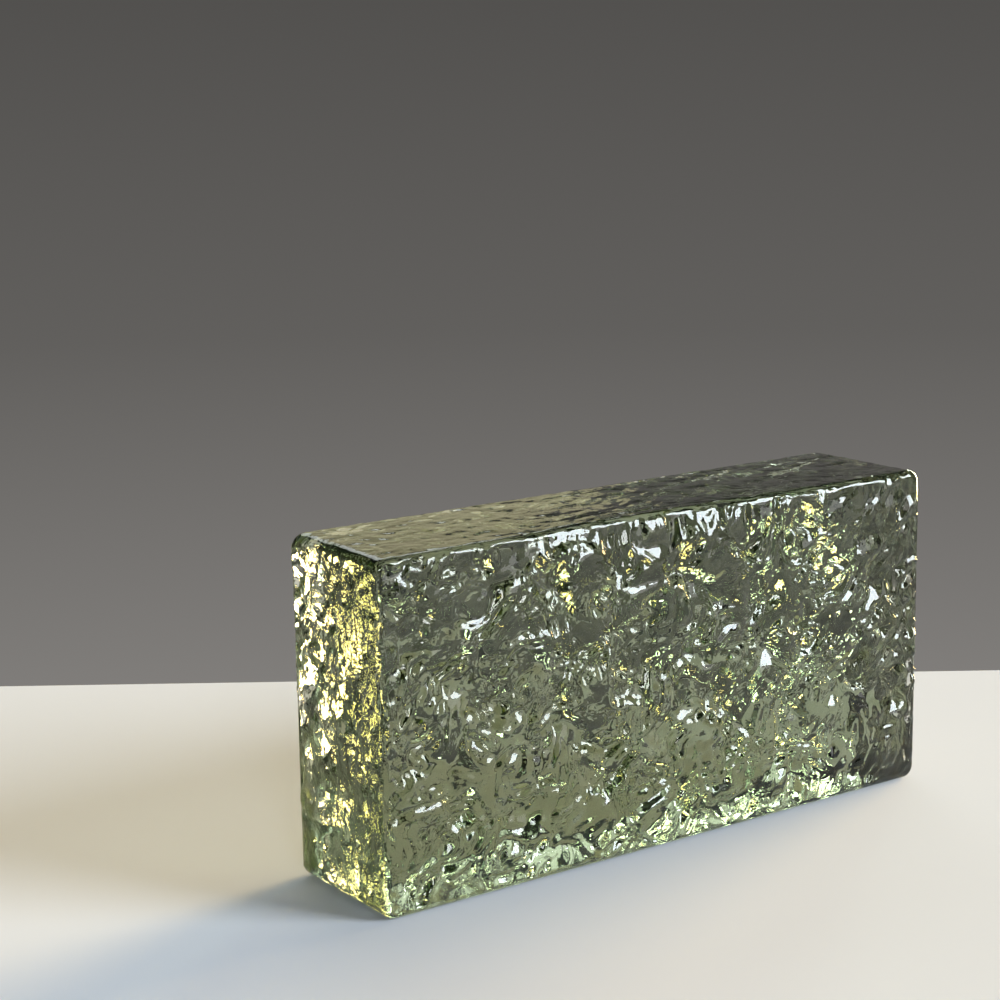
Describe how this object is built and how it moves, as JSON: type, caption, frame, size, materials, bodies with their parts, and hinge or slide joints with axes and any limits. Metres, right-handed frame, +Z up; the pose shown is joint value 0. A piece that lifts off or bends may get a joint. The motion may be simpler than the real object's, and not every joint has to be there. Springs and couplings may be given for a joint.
{
  "type": "glass block",
  "caption": "Solid cast green glass brick with crumpled large faces, rounded edges and flat bed faces, for bonded see-through walls and screens",
  "frame": {"origin": "middle of the bottom bed face, on the floor that the brick stands on", "axes": "+X along the length, +Y from the front large face through the thickness to the back one, +Z up"},
  "size_m": [0.2008, 0.0478, 0.1],
  "materials": {
    "green_glass": "cast, fire-polished, crumpled"
  },
  "bodies": {
    "root": {"glass_block": "green_glass"}
  },
  "joints": []
}
